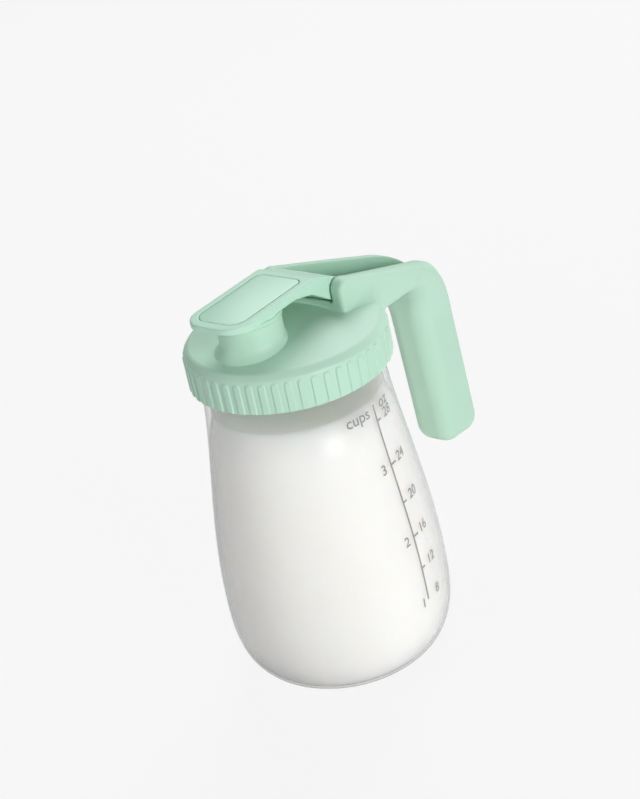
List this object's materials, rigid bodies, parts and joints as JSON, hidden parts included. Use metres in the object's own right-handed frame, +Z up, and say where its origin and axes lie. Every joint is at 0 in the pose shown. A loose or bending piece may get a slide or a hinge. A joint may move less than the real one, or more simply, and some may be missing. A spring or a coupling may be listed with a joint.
{
  "type": "milk storage pitcher",
  "caption": "Glass milk storage jar with a mint screw lid, a flip-capped pouring spout and a forked handle whose grip hangs beside the jar.",
  "frame": {"origin": "centre of the jar's standing ring, on the floor", "axes": "+Z up along the jar's axis, -X towards the spout, +X towards the hanging grip, the XZ plane is the mirror plane"},
  "size_m": [0.1656, 0.1038, 0.1891],
  "materials": {
    "glass": "clear blown borosilicate glass, fire polished",
    "mint_plastic": "injection moulded polypropylene with a fine satin texture",
    "silicone_ring": "translucent white moulded silicone",
    "silicone_seal": "pale mint moulded silicone",
    "scale_print": "grey ceramic screen print fired on the glass",
    "milk": "liquid, opaque white with a level surface"
  },
  "bodies": {
    "jar": {"glass_jar": "glass"},
    "gasket": {"lid_gasket": "silicone_ring"},
    "lid": {"screw_lid": "mint_plastic", "handle": "mint_plastic", "grip_cover": "mint_plastic"},
    "cap": {"flip_cap": "mint_plastic", "cap_inlay": "mint_plastic", "spout_seal": "silicone_seal"}
  },
  "joints": [
    {"name": "lid_lift", "type": "slide", "parent": "jar", "child": "gasket", "axis": [0, 0, 1], "range_m": [0, 0.0075]},
    {"name": "lid_turn", "type": "hinge", "parent": "gasket", "child": "lid", "pos_m": [0, 0, 0.149], "axis": [0, 0, 1], "range_deg": [0, 450]},
    {"name": "cap_flip", "type": "hinge", "parent": "lid", "child": "cap", "pos_m": [0.02, 0, 0.1785], "axis": [0, 1, 0], "range_deg": [0, 110]}
  ],
  "couplings": [
    {"joint": "lid_lift", "follows": "lid_turn", "m_per_rad": 0.000954}
  ]
}
